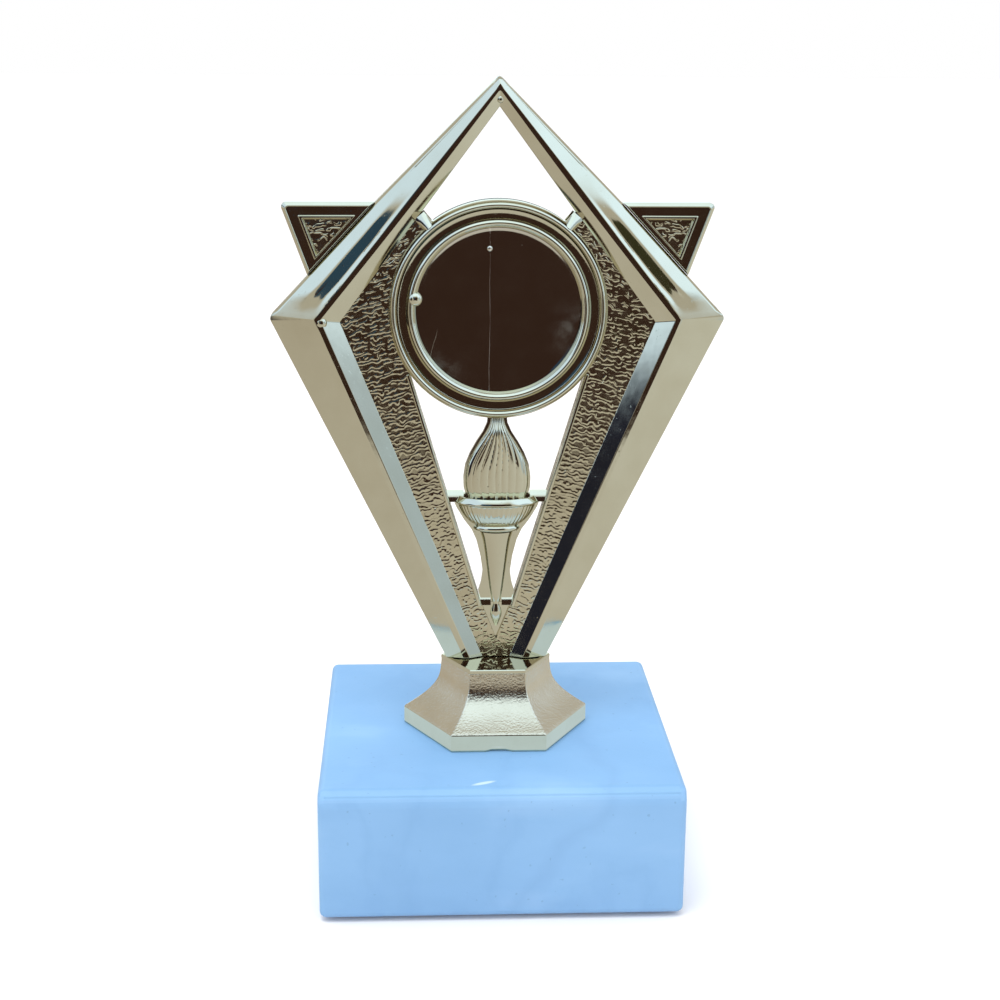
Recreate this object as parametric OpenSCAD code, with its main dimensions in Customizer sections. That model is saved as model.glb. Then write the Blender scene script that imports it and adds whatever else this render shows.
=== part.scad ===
// Diamond torch trophy: a plated figure of two clamped half mouldings on a flared hexagonal
// foot, held on a marble block by one stud. Millimetres, +Z up, front towards -Y, origin on the
// resting plane below the middle of the block.

/* [Marble block] */
// Width of the block, left to right
base_w = 57; // [45:1:80]
// Depth of the block, front to back
base_d = 57; // [45:1:80]
// Height of the marble itself
base_h = 21.2; // [18:0.2:40]
// Height taken off the front top edge by its chamfer
front_chamfer_drop = 1.8; // [0.5:0.1:3]
// Width of the front chamfer on the top face
front_chamfer_run = 1.2; // [0.5:0.1:3]
// Eased edge on the other corners
edge_ease = 0.5; // [0.2:0.1:1]

/* [Foot pads] */
// Radius of each felt pad
pad_r = 5; // [3:0.5:7]
// Thickness of a felt pad
pad_t = 0.6; // [0.4:0.1:2]
// Distance from the block's side to a pad's centre
pad_inset = 8.5; // [7.5:0.5:12]

/* [Fastening] */
// Radius of the threaded stud
stud_r = 3; // [2:0.5:4]
// Width of the nuts across their flats
nut_af = 10; // [9:0.5:12]
// Thickness of the nuts
nut_t = 5; // [4:0.2:6]
// Outer radius of the large flat washer
washer_r = 9; // [8:0.5:10]
// Thickness of the flat washer
washer_t = 1.6; // [1:0.1:2]
// Outer radius of the spring washer
spring_r = 5.9; // [5.5:0.1:6.5]
// Thickness of the spring washer
spring_t = 1.6; // [1:0.1:2]
// Radius of the counterbore under the block
counterbore_r = 11; // [10.5:0.5:14]
// Depth of the counterbore
counterbore_d = 10; // [9.5:0.5:12]
// Length of stud left showing below the clamp nut
stud_end = 0.8; // [0.4:0.1:1.2]

/* [Foot] */
// Corner radius of the foot on the block
foot_r = 15.3; // [13:0.1:20]
// Height of the upright band round the foot
foot_band = 3; // [2:0.1:4]
// How hollow the flared flanks are, from 0, straight, to 1, a quarter of an ellipse
flare_hollow = 0.45; // [0.2:0.05:0.9]
// Corner radius of the foot's neck
neck_r = 9.05; // [9:0.05:11]
// Height of the foot with its neck plate
foot_h = 12; // [12:0.2:18]
// Thickness of the polished neck plate
neck_plate_t = 0.6; // [0.4:0.1:1]

/* [Diamond frame] */
// Height of the apex above the block
apex_z = 106; // [100:1:130]
// Width over the two side corners
frame_w = 72; // [66:1:90]
// Height of the side corners above the block
corner_z = 68.8; // [66:0.2:80]
// Width of the frame where it stands on the neck plate
frame_foot_w = 16.4; // [16:0.1:17]
// Half thickness of the frame's side wall
wall_half = 1.5; // [1:0.1:2]
// Distance from the outer edge in to the ridge at the apex
ridge_in_apex = 1.3; // [1:0.1:2]
// Distance from the outer edge in to the ridge at the side corners
ridge_in_corner = 7.2; // [6:0.1:8]
// Distance from the outer edge in to the ridge at the neck plate
ridge_in_foot = 2.9; // [2.4:0.1:3.2]
// Distance from the outer edge in to the bar's inner edge at the apex
bar_w_apex = 4.7; // [4:0.1:6]
// Distance from the outer edge in to the bar's inner edge at the side corners
bar_w_corner = 11.1; // [10:0.1:12]
// Distance from the outer edge in to the bar's inner edge at the neck plate
bar_w_foot = 6; // [5:0.1:6.5]
// Depth of the ridge at the apex, from the parting plane
ridge_d_apex = 2.3; // [2:0.1:4]
// Depth of the ridge at the side corners
ridge_d_corner = 3.2; // [2.8:0.1:6]
// Depth of the ridge at the neck plate
ridge_d_foot = 2.2; // [2:0.1:4]
// Width of the narrow flat along the ridge
land_w = 0.9; // [0.5:0.1:1.5]
// Depth of the grained panels, from the parting plane
panel_d = 1.2; // [1:0.1:1.6]
// Length of the tenon that enters the foot
tenon_l = 4.5; // [3:0.1:5]
// Width of the tenon
tenon_w = 11; // [8:0.5:13]
// Half thickness of the tenon
tenon_half = 2; // [1.5:0.1:2.2]
// Radius of the pegs that line up the two halves
peg_r = 0.8; // [0.5:0.1:1]
// Length of the pegs
peg_l = 1; // [0.6:0.1:1.2]

/* [Wings] */
// Height of the wings' top edge above the block
wing_top_z = 86.7; // [82:0.1:90]
// Height of the wings' lower point
wing_low_z = 75.4; // [72:0.1:78]
// How far the wing tip stands out of the frame's shoulder
wing_reach = 14.8; // [10:0.1:20]
// Width of the border round the grained field
wing_border = 2.2; // [1.5:0.1:3]
// Depth of the grained field below the border
wing_recess = 0.6; // [0.3:0.1:0.9]
// Half thickness of the tongue that the frame clamps
tongue_half = 0.7; // [0.4:0.1:0.9]
// How far the tongue runs into the frame
tongue_l = 2.2; // [1.5:0.1:3]

/* [Emblem ring] */
// Outer radius of the ring
ring_r = 17.3; // [16:0.1:19]
// Height of the ring's centre above the block
ring_z = 69.9; // [68:0.1:74]
// Half thickness of the ring
ring_half = 2.6; // [2.2:0.1:3.2]
// Radius of the recess for a one inch emblem
recess_r = 13; // [12.8:0.05:13.2]
// Depth of the emblem recess
recess_d = 1.4; // [1.2:0.1:1.6]
// Width of each raised bead
bead_w = 1.4; // [1:0.1:1.8]
// Depth of the groove between the beads
groove_d = 0.7; // [0.4:0.1:1]
// Radius of the polished seat plate
seat_r = 12.2; // [11:0.1:12.5]
// Thickness of the polished seat plate
seat_t = 0.8; // [0.5:0.1:1]
// Angle of the upper locating lugs above the horizontal
lug_up = 50; // [46:1:54]
// Angle of the lower locating lugs below the horizontal
lug_down = 34; // [30:1:38]
// Width of a lug
lug_w = 1.8; // [1.2:0.1:2.4]
// Length of a lug outside the ring
lug_l = 3; // [2:0.1:4]
// Half thickness of a lug
lug_half = 1; // [0.6:0.1:1.1]

/* [Torch window and torch] */
// Width of the window where it narrows to the torch's point
window_foot_w = 5.2; // [4.6:0.1:6]
// Height of that place above the block
window_foot_z = 21.6; // [20:0.1:24]
// Angle on the ring where the window's sides end
window_angle = 36; // [32:1:40]
// Width of the raised rim along the window
rim_w = 0.7; // [0.4:0.1:1]
// Height of the raised rim
rim_h = 0.35; // [0.2:0.05:0.5]
// Height of the torch's point above the block
point_z = 15.8; // [15:0.1:17]
// Height of the bowl's rim above the block
bowl_z = 39; // [38:0.1:42]
// Radius of the bowl's rim
bowl_r = 6.9; // [6:0.1:7.2]
// Radius of the flame at its widest
flame_r = 5.1; // [4:0.1:6]
// Flatness of the flame, as depth over width
flame_flat = 0.4; // [0.3:0.05:0.5]
// Flatness of the bowl and its collar
bowl_flat = 0.6; // [0.4:0.05:0.7]
// Flatness of the stem
stem_flat = 0.7; // [0.5:0.05:1]
// Height of the side tabs that hold the torch
tab_h = 1.4; // [1:0.1:2]
// Half thickness of the side tabs
tab_half = 0.8; // [0.5:0.1:0.9]
// How far the upper tabs lie below the bowl's rim
tab_drop = 0.1; // [0:0.1:1.5]
// Half thickness of the web that fills the window's V round the torch's point
web_half = 0.4; // [0.3:0.1:0.6]
// Length of the tabs inside the frame
tab_in = 1.8; // [1:0.1:2.4]
// Radius of the spigot that enters the ring
spigot_r = 0.8; // [0.5:0.1:1]
// Length of the spigot inside the ring
spigot_l = 1.5; // [1:0.1:2]

/* [Clearances] */
// Gap round plastic pieces that plug together
plug_gap = 0.1; // [0.05:0.05:0.2]
// Gap between a stud and the hole of a nut or of the foot
thread_gap = 0.08; // [0.05:0.01:0.2]
// Gap between the stud and the marble
stone_gap = 0.5; // [0.3:0.1:1]

/* [Hidden] */
$fn = 96;

gold = "#d9cf9f";
steel = "#b9bcc0";
stone = "#a9cbec";
felt = "#3a3f38";
cut = 1;              // how far a cutting shape runs past the face it cuts

base_top = pad_t + base_h;
washer_top = pad_t + counterbore_d;
spring_top = washer_top - washer_t;
clamp_nut_top = spring_top - spring_t;
stud_low = clamp_nut_top - nut_t - stud_end;
captive_low = 0.6;    // height of the captive nut above the block
stud_over = 0.5;      // length of stud above the captive nut
stud_high = captive_low + nut_t + stud_over;
spring_split = 1.2;   // width of the spring washer's split

// Outline points of the right half, as [x, z] above the block: the outer edge, the ridge and the
// inner edge of a bar, at the apex, at the side corner and on the neck plate.
edge_apex = [0, apex_z];
edge_corner = [frame_w / 2, corner_z];
edge_foot = [frame_foot_w / 2, foot_h];
ridge_sag = 0.1;      // how far the ridge's corner lies below the outer corner
inner_sag = 0.8;      // how far the inner corner lies below the outer corner
ridge_apex = edge_apex - [0, ridge_in_apex];
ridge_corner = edge_corner - [ridge_in_corner, ridge_sag];
ridge_foot = edge_foot - [ridge_in_foot, 0];
inner_apex = edge_apex - [0, bar_w_apex];
inner_corner = edge_corner - [bar_w_corner, inner_sag];
inner_foot = edge_foot - [bar_w_foot, 0];
shoulder_bulge = 0.55; // how far the shoulder stands outside a straight bar

function lerp(a, b, t) = a + (b - a) * t;
function unit(v) = v / norm(v);
function normal_of(a, b) = let (u = unit(b - a)) [-u[1], u[0]];
function flip(p, s) = [s * p[0], p[1]];
function x_at(a, b, z) = lerp(a[0], b[0], (z - a[1]) / (b[1] - a[1]));

// The shoulder, where a wing's top edge meets the outer edge of the upper bar.
shoulder = [x_at(edge_apex, edge_corner, wing_top_z) + shoulder_bulge, wing_top_z];
shoulder_t = (apex_z - wing_top_z) / (apex_z - corner_z);
wing_tip = shoulder + [wing_reach, 0];
wing_low = [x_at(shoulder, edge_corner, wing_low_z), wing_low_z];

land_apex = ridge_apex + land_w * unit(inner_apex - ridge_apex);
land_corner = ridge_corner + land_w * unit(inner_corner - ridge_corner);
land_foot = ridge_foot + land_w * unit(inner_foot - ridge_foot);

window_foot = [window_foot_w / 2, window_foot_z];
window_top = [ring_r * cos(window_angle), ring_z - ring_r * sin(window_angle)];
point_gap = 0.7;      // gap under the torch's point
panel_over = 0.9;     // height of the grained panel above the upper lugs
panel_top = ring_z + (ring_r + panel_over) * sin(lug_up);

// Shapes drawn in the X-Z plane and given a depth between two Y values.
module slab(front, back)
    translate([0, back, 0]) rotate([90, 0, 0]) linear_extrude(height = back - front) children();

// ---- Marble block and its pads ----
module block_outline(w, d, e)
    polygon([[-w / 2 + e, -d / 2], [w / 2 - e, -d / 2], [w / 2, -d / 2 + e], [w / 2, d / 2 - e],
        [w / 2 - e, d / 2], [-w / 2 + e, d / 2], [-w / 2, d / 2 - e], [-w / 2, -d / 2 + e]]);

module marble_base() {
    color(stone) translate([0, 0, pad_t]) difference() {
        linear_extrude(height = base_h) block_outline(base_w, base_d, edge_ease);
        // chamfer along the front top edge
        rotate([90, 0, 90]) translate([0, 0, -base_w]) linear_extrude(height = 2 * base_w)
            translate([-base_d / 2, base_h])
                polygon([[-cut, cut], [-cut, -front_chamfer_drop], [0, -front_chamfer_drop],
                    [front_chamfer_run, 0], [front_chamfer_run, cut]]);
        translate([0, 0, -cut]) cylinder(r = stud_r + stone_gap, h = base_h + 2 * cut);
        translate([0, 0, -cut]) cylinder(r = counterbore_r, h = counterbore_d + cut);
    }
}

module base_pads() {
    for (sx = [-1, 1], sy = [-1, 1])
        color(felt) translate([sx * (base_w / 2 - pad_inset), sy * (base_d / 2 - pad_inset), 0])
            cylinder(r = pad_r, h = pad_t);
}

// ---- Fastening ----
module hex_nut(hole_r)
    difference() {
        cylinder(r = nut_af / 2 / cos(30), h = nut_t, $fn = 6);
        translate([0, 0, -cut]) cylinder(r = hole_r, h = nut_t + 2 * cut);
    }

module threaded_stud()
    color(steel) translate([0, 0, stud_low]) {
        cylinder(r = stud_r, h = base_top + stud_high - stud_low);
    }

module captive_nut()
    color(steel) translate([0, 0, base_top + captive_low]) hex_nut(stud_r + thread_gap);

module clamp_nut()
    color(steel) translate([0, 0, clamp_nut_top - nut_t]) hex_nut(stud_r + thread_gap);

module flat_washer()
    color(steel) translate([0, 0, spring_top]) difference() {
        cylinder(r = washer_r, h = washer_t);
        translate([0, 0, -cut]) cylinder(r = stud_r + stone_gap, h = washer_t + 2 * cut);
    }

module spring_washer()
    color(steel) translate([0, 0, clamp_nut_top]) difference() {
        cylinder(r = spring_r, h = spring_t);
        translate([0, 0, -cut]) cylinder(r = stud_r + 2 * thread_gap, h = spring_t + 2 * cut);
        translate([0, -spring_split / 2, -cut]) cube([2 * spring_r, spring_split, spring_t + 2 * cut]);
    }

// ---- Foot and neck plate ----
// Concave flank from the band to the neck, between a straight line and a quarter of an ellipse.
flare_steps = 14;
band_soft = 0.15;     // small chamfer on the band's upper edge
flare_low = [foot_r - band_soft, foot_band];
flare_top = [neck_r, foot_h - neck_plate_t];
flare_side = [for (i = [0:flare_steps])
    let (t = i / flare_steps, straight = lerp(flare_low, flare_top, t),
        round = [lerp(flare_low[0], flare_top[0], sin(90 * t)),
            lerp(flare_top[1], flare_low[1], cos(90 * t))])
    lerp(straight, round, flare_hollow)];

module foot()
    color(gold) translate([0, 0, base_top]) difference() {
        rotate_extrude($fn = 6)
            polygon(concat([[0, 0], [foot_r, 0], [foot_r, foot_band - band_soft]], flare_side,
                [[0, flare_top[1]]]));
        // stud hole, pocket of the captive nut and pocket of the frame's tenon
        translate([0, 0, -cut]) cylinder(r = stud_r + thread_gap, h = stud_high + cut + thread_gap);
        translate([0, 0, -cut])
            cylinder(r = (nut_af / 2 + plug_gap) / cos(30), h = captive_low + nut_t + cut, $fn = 6);
        tenon_pocket();
    }

module tenon_pocket()
    translate([-tenon_w / 2 - plug_gap, -tenon_half - plug_gap, foot_h - tenon_l - plug_gap])
        cube([tenon_w + 2 * plug_gap, 2 * (tenon_half + plug_gap), tenon_l + cut]);

module neck_plate()
    color(gold) translate([0, 0, base_top]) difference() {
        translate([0, 0, foot_h - neck_plate_t]) cylinder(r = neck_r, h = neck_plate_t, $fn = 6);
        tenon_pocket();
    }

// ---- Half mouldings of the diamond frame ----
// One cross section of a bar, from the outer edge over the ridge to the inner edge.
function bar_section(edge, ridge, land, inner, depth) = [
    [edge[0], 0, edge[1]], [edge[0], -wall_half, edge[1]],
    [ridge[0], -depth, ridge[1]], [land[0], -depth, land[1]],
    [inner[0], -panel_d, inner[1]], [inner[0], 0, inner[1]]];

right_sections = [
    bar_section(edge_foot, ridge_foot, land_foot, inner_foot, ridge_d_foot),
    bar_section(edge_corner, ridge_corner, land_corner, inner_corner, ridge_d_corner),
    bar_section(shoulder, lerp(ridge_apex, ridge_corner, shoulder_t),
        lerp(land_apex, land_corner, shoulder_t), lerp(inner_apex, inner_corner, shoulder_t),
        lerp(ridge_d_apex, ridge_d_corner, shoulder_t)),
    bar_section(edge_apex, ridge_apex, land_apex, inner_apex, ridge_d_apex)];
left_sections = [for (i = [len(right_sections) - 2:-1:0])
    [for (p = right_sections[i]) [-p[0], p[1], p[2]]]];
sections = concat(right_sections, left_sections);

tenon_root = 0.4;     // length of the tenon inside the frame itself

module bars() {
    sides = len(sections[0]);
    last = len(sections) - 1;
    walls = [for (i = [0:last - 1], k = [0:sides - 1]) let (n = (k + 1) % sides)
        each [[i * sides + k, i * sides + n, (i + 1) * sides + n],
              [i * sides + k, (i + 1) * sides + n, (i + 1) * sides + k]]];
    polyhedron(points = [for (s = sections) each s],
        faces = concat([[for (k = [sides - 1:-1:0]) k]], walls,
            [[for (k = [0:sides - 1]) last * sides + k]]));
}

// The tongue of a wing, between two shares of the way from its shoulder to its low point.
tongue_span = [0.14, 0.84];
tongue_root = 0.6;    // length of the tongue inside the wing itself
function tongue(s, grow) = let (out = normal_of(edge_corner, shoulder) * -1,
        a = lerp(shoulder, wing_low, tongue_span[0]), b = lerp(shoulder, wing_low, tongue_span[1]),
        along = unit(b - a) * grow)
    [for (p = [a - along + out * tongue_root, b + along + out * tongue_root,
        b + along - out * (tongue_l + grow), a - along - out * (tongue_l + grow)]) flip(p, s)];

lug_root = 0.4;       // length of a lug inside the ring itself
module lugs(grow)
    for (a = [lug_up, 180 - lug_up, -lug_down, 180 + lug_down])
        translate([0, ring_z]) rotate(a) translate([ring_r - lug_root, -lug_w / 2 - grow])
            square([lug_l + lug_root + grow, lug_w + 2 * grow]);

// The torch's side tabs at the bowl and above the point, as a flat outline.
function window_x(z) = x_at(window_foot, window_top, z);
low_tab_drop = 0.3;   // how far the lower tabs lie below the window's corner
low_tab_z = window_foot_z - low_tab_drop;
module tabs(grow)
    for (z = [bowl_z - tab_drop, low_tab_z]) {
        end = window_x(z) + tab_in + grow;
        translate([-end, z - tab_h / 2 - grow]) square([2 * end, tab_h + 2 * grow]);
    }

window_point = [0, point_z - point_gap];
module window_outline()
    polygon([window_point, window_foot, window_top, [0, ring_z],
        flip(window_top, -1), flip(window_foot, -1)]);

// The web in the window's V, lifted a little so that a gap is left along both its sides.
web_lift = 0.3;
web_corner = [x_at(window_point, window_foot, low_tab_z - web_lift), low_tab_z];
module web() polygon([window_point + [0, web_lift], web_corner, flip(web_corner, -1)]);

// Two pegs along each lower bar and two along each upper bar, as shares of the bar's length.
peg_places = concat([for (t = [0.3, 0.7]) lerp(ridge_foot, ridge_corner, t)],
    [for (t = [0.3, 0.9]) lerp(ridge_apex, ridge_corner, t)]);

module pegs(grow)
    for (s = [-1, 1], p = peg_places)
        translate([s * p[0], grow, p[1]]) rotate([90, 0, 0])
            cylinder(r = peg_r + grow, h = peg_l + 2 * grow);

panel_corner = [x_at(land_apex, land_corner, panel_top), panel_top];

// The front half, from the parting plane forwards; the rear half mirrors it.
module frame_half()
    difference() {
        union() {
            bars();
            slab(-panel_d, 0)
                polygon([land_foot, land_corner, panel_corner, flip(panel_corner, -1),
                    flip(land_corner, -1), flip(land_foot, -1)]);
            // raised rim along both sides of the torch window
            slab(-panel_d - rim_h, -panel_d / 2)
                for (s = [-1, 1])
                    polygon([flip(window_foot, s), flip(window_top, s),
                        flip(window_top + [rim_w, 0], s), flip(window_foot + [rim_w, 0], s)]);
            translate([-tenon_w / 2, -tenon_half, foot_h - tenon_l])
                cube([tenon_w, tenon_half, tenon_l + tenon_root]);
        }
        slab(-ridge_d_corner - cut, cut) translate([0, ring_z]) circle(r = ring_r + plug_gap);
        slab(-ridge_d_corner - cut, cut) window_outline();
        slab(-lug_half - plug_gap, cut) lugs(plug_gap);
        slab(-tab_half - plug_gap, cut) tabs(plug_gap);
        for (s = [-1, 1])
            slab(-tongue_half - plug_gap, cut) polygon(tongue(s, plug_gap));
    }

module front_frame()
    color(gold) translate([0, 0, base_top]) difference() {
        frame_half();
        pegs(plug_gap);
    }

module rear_frame()
    color(gold) translate([0, 0, base_top]) {
        mirror([0, 1, 0]) frame_half();
        pegs(0);
    }

// ---- Wings ----
module wing(s)
    color(gold) translate([0, 0, base_top]) difference() {
        union() {
            slab(-wall_half, wall_half)
                polygon([for (p = [shoulder + [plug_gap, 0], wing_tip, wing_low + [plug_gap, 0]])
                    flip(p, s)]);
            slab(-tongue_half, tongue_half) polygon(tongue(s, 0));
        }
        for (side = [-1, 1])
            translate([0, side * (wall_half - wing_recess / 2 + cut / 2), 0])
                slab(-wing_recess / 2 - cut / 2, wing_recess / 2 + cut / 2) polygon(wing_field(s));
    }

// The grained triangle inside a wing's border: its outer, its inner and its lower corner.
field_gap = 0.6;      // gap between the field and the frame's bar
function wing_field(s) = let (side = unit(wing_low - wing_tip), bar = unit(wing_low - shoulder),
        z = wing_tip[1] - wing_border,
        outer = [wing_tip[0] - wing_border * (1 - side[0]) / -side[1], z],
        inner = [shoulder[0] + field_gap + wing_border * bar[0] / -bar[1], z],
        lower = wing_low + [plug_gap, 0.9 * wing_border])
    [for (p = [outer, inner, lower]) flip(p, s)];

module left_wing() wing(-1);
module right_wing() wing(1);

// ---- Emblem ring and its seat plates ----
edge_soft = 0.2;      // small chamfer on the beads
rim_slope = 0.8;      // width of the slope outside the outer bead
rim_flat = 0.8;       // width of the outer bead's flat
outer_bead = ring_r - rim_slope;
inner_bead = recess_r + bead_w;
ring_side = [[ring_r, 0], [ring_r, panel_d], [outer_bead, ring_half], [outer_bead - rim_flat, ring_half],
    [outer_bead - rim_flat - edge_soft, ring_half - groove_d],
    [inner_bead + edge_soft, ring_half - groove_d],
    [inner_bead, ring_half - edge_soft], [inner_bead - edge_soft, ring_half],
    [recess_r + edge_soft, ring_half], [recess_r, ring_half - edge_soft],
    [recess_r, ring_half - recess_d], [seat_r + plug_gap, ring_half - recess_d],
    [seat_r + plug_gap, ring_half - recess_d - seat_t], [0, ring_half - recess_d - seat_t]];

ring_rear = [for (i = [len(ring_side) - 1:-1:1]) [ring_side[i][0], -ring_side[i][1]]];

module emblem_ring()
    color(gold) translate([0, 0, base_top]) difference() {
        union() {
            translate([0, 0, ring_z]) rotate([90, 0, 0]) rotate_extrude()
                polygon(concat(ring_side, ring_rear));
            slab(-lug_half, lug_half) lugs(0);
        }
        translate([0, 0, ring_z - ring_r - cut])
            cylinder(r = spigot_r + plug_gap, h = spigot_l + cut + plug_gap);
    }

module seat_plate(y)
    color(gold) translate([0, y, base_top + ring_z]) rotate([90, 0, 0]) cylinder(r = seat_r, h = seat_t);

module front_seat_plate() seat_plate(-(ring_half - recess_d - seat_t));
module rear_seat_plate() seat_plate(ring_half - recess_d);

// ---- Torch ----
tip_z = ring_z - ring_r - plug_gap;
bowl_drop = 5.6;      // height of the bowl, from the collar to its rim
collar_z = bowl_z - bowl_drop;
// The torch from its point to the tip of the flame: each level's half width, height and flatness.
stem_levels = [
    [0.2, point_z, stem_flat], [1.1, window_foot_z - 2.4, stem_flat],
    [0.8, window_foot_z - 0.6, stem_flat], [1.1, window_foot_z + 2, stem_flat],
    [1.5, lerp(window_foot_z, collar_z, 0.55), stem_flat],
    [2, lerp(window_foot_z, collar_z, 0.8), stem_flat]];
collar_levels = [[2.9, collar_z - 0.1, bowl_flat], [3.6, collar_z + 0.3, bowl_flat],
    [3.3, collar_z + 1, bowl_flat]];
bowl_levels = [for (v = [[0.64, 0.32], [0.81, 0.52], [0.93, 0.71], [0.97, 0.89], [1, 1]])
    [bowl_r * v[0], lerp(collar_z, bowl_z, v[1]), bowl_flat]];
flame_levels = [for (v = [[0.95, 0.05], [0.99, 0.16], [1, 0.28], [0.93, 0.47], [0.72, 0.65]])
    [flame_r * v[0], lerp(bowl_z, tip_z, v[1]), flame_flat]];
tip_levels = [[flame_r * 0.44, lerp(bowl_z, tip_z, 0.82), 0.5], [1.1, tip_z - 0.6, 0.8], [1.1, tip_z, 0.8]];
torch_levels = concat(stem_levels, collar_levels, bowl_levels,
    [[bowl_r - 0.2, bowl_z + 0.5, bowl_flat]], flame_levels, tip_levels);
torch_sides = 40;

// A closed solid with one elliptical ring at each level.
module oval_lathe(levels, sides) {
    last = len(levels) - 1;
    walls = [for (i = [0:last - 1], k = [0:sides - 1]) let (n = (k + 1) % sides)
        each [[i * sides + k, (i + 1) * sides + n, i * sides + n],
              [i * sides + k, (i + 1) * sides + k, (i + 1) * sides + n]]];
    polyhedron(
        points = [for (v = levels, k = [0:sides - 1]) let (a = 360 * k / sides)
            [v[0] * cos(a), v[0] * v[2] * sin(a), v[1]]],
        faces = concat([[for (k = [0:sides - 1]) k]], walls,
            [[for (k = [sides - 1:-1:0]) last * sides + k]]));
}

module torch()
    color(gold) translate([0, 0, base_top]) {
        oval_lathe(torch_levels, torch_sides);
        translate([0, 0, tip_z - cut]) cylinder(r = spigot_r, h = cut + plug_gap + spigot_l);
        slab(-tab_half, tab_half) tabs(0);
        slab(-web_half, web_half) web();
    }

marble_base();
base_pads();
threaded_stud();
captive_nut();
flat_washer();
spring_washer();
clamp_nut();
foot();
neck_plate();
front_frame();
rear_frame();
left_wing();
right_wing();
emblem_ring();
front_seat_plate();
rear_seat_plate();
torch();
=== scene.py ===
"""Looks of a diamond torch trophy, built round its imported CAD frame.

Shapes are worked out in millimetres and scaled once, by MM. +Z is up and the front faces -Y.
The two halves of the figure mirror each other in the plane y = 0.
"""

import functools
import math

import bmesh
import bpy
import numpy as np
from mathutils import Matrix, Vector

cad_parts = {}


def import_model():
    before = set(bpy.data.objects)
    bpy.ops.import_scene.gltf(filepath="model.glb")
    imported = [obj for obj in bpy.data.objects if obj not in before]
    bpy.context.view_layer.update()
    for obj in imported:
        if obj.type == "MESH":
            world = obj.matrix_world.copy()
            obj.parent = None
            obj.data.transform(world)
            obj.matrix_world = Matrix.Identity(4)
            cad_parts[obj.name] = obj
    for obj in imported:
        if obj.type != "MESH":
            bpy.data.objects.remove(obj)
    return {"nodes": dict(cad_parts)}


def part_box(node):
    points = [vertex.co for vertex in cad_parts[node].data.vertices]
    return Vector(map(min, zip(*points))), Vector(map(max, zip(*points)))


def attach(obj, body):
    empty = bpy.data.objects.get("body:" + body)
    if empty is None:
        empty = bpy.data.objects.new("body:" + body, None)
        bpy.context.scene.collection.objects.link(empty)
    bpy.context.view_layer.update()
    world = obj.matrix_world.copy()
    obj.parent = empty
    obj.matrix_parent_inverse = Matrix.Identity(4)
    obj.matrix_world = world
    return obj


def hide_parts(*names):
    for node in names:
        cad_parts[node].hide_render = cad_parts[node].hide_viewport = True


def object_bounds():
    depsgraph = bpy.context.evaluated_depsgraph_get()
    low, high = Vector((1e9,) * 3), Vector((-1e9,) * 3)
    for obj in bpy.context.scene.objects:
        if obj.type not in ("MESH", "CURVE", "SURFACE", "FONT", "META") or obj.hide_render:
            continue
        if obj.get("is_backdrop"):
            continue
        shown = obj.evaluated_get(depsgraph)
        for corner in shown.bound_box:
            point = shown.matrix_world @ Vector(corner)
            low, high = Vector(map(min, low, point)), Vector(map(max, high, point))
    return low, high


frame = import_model()
CAD_BOX = [list(corner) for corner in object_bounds()]
MM = 0.001


# ---------------- places, read from the frame
def box_mm(node):
    low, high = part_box(node)
    return np.array(low) / MM, np.array(high) / MM


BLOCK_LOW, BLOCK_HIGH = box_mm("marble_base")
BASE_TOP = BLOCK_HIGH[2]
FOOT_HIGH = box_mm("foot")[1]
PLATE_LOW, PLATE_HIGH = box_mm("neck_plate")
HALF_HIGH = box_mm("front_frame")[1]
RING_LOW, RING_HIGH = box_mm("emblem_ring")
TORCH_LOW = box_mm("torch")[0]
WING_HIGH = box_mm("right_wing")[1]
STUD_LOW, STUD_HIGH = box_mm("threaded_stud")

RING_R = (RING_HIGH[2] - RING_LOW[2]) / 2
RING_Z = (RING_HIGH[2] + RING_LOW[2]) / 2
RING_HALF = RING_HIGH[1]

# Sizes of a half moulding, the same as the frame's. Each bar has an outer edge, a ridge and an
# inner edge, and each of these has a depth or a distance at the apex, the corner and the foot.
CORNER_Z = BASE_TOP + 68.8
FOOT_HALF_W = 8.2
WALL_HALF = 1.5
PANEL_D = 1.2
LAND_W = 0.9
RIDGE_IN_APEX, RIDGE_IN_CORNER, RIDGE_IN_FOOT = 1.3, 7.2, 2.9
BAR_W_APEX, BAR_W_CORNER, BAR_W_FOOT = 4.7, 11.1, 6.0
RIDGE_D_APEX, RIDGE_D_CORNER, RIDGE_D_FOOT = 2.3, 3.2, 2.2
RIDGE_CORNER_DROP, INNER_CORNER_DROP = 0.1, 0.8
SHOULDER_Z = WING_HIGH[2]
SHOULDER_BULGE = 0.55

# The outline's points on the right side, as x and z.
EDGE_APEX = np.array([0.0, HALF_HIGH[2]])
EDGE_CORNER = np.array([HALF_HIGH[0], CORNER_Z])
EDGE_FOOT = np.array([FOOT_HALF_W, PLATE_HIGH[2]])
RIDGE_APEX = EDGE_APEX - (0, RIDGE_IN_APEX)
RIDGE_CORNER = EDGE_CORNER - (RIDGE_IN_CORNER, RIDGE_CORNER_DROP)
RIDGE_FOOT = EDGE_FOOT - (RIDGE_IN_FOOT, 0)
INNER_APEX = EDGE_APEX - (0, BAR_W_APEX)
INNER_CORNER = EDGE_CORNER - (BAR_W_CORNER, INNER_CORNER_DROP)
INNER_FOOT = EDGE_FOOT - (BAR_W_FOOT, 0)

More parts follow.
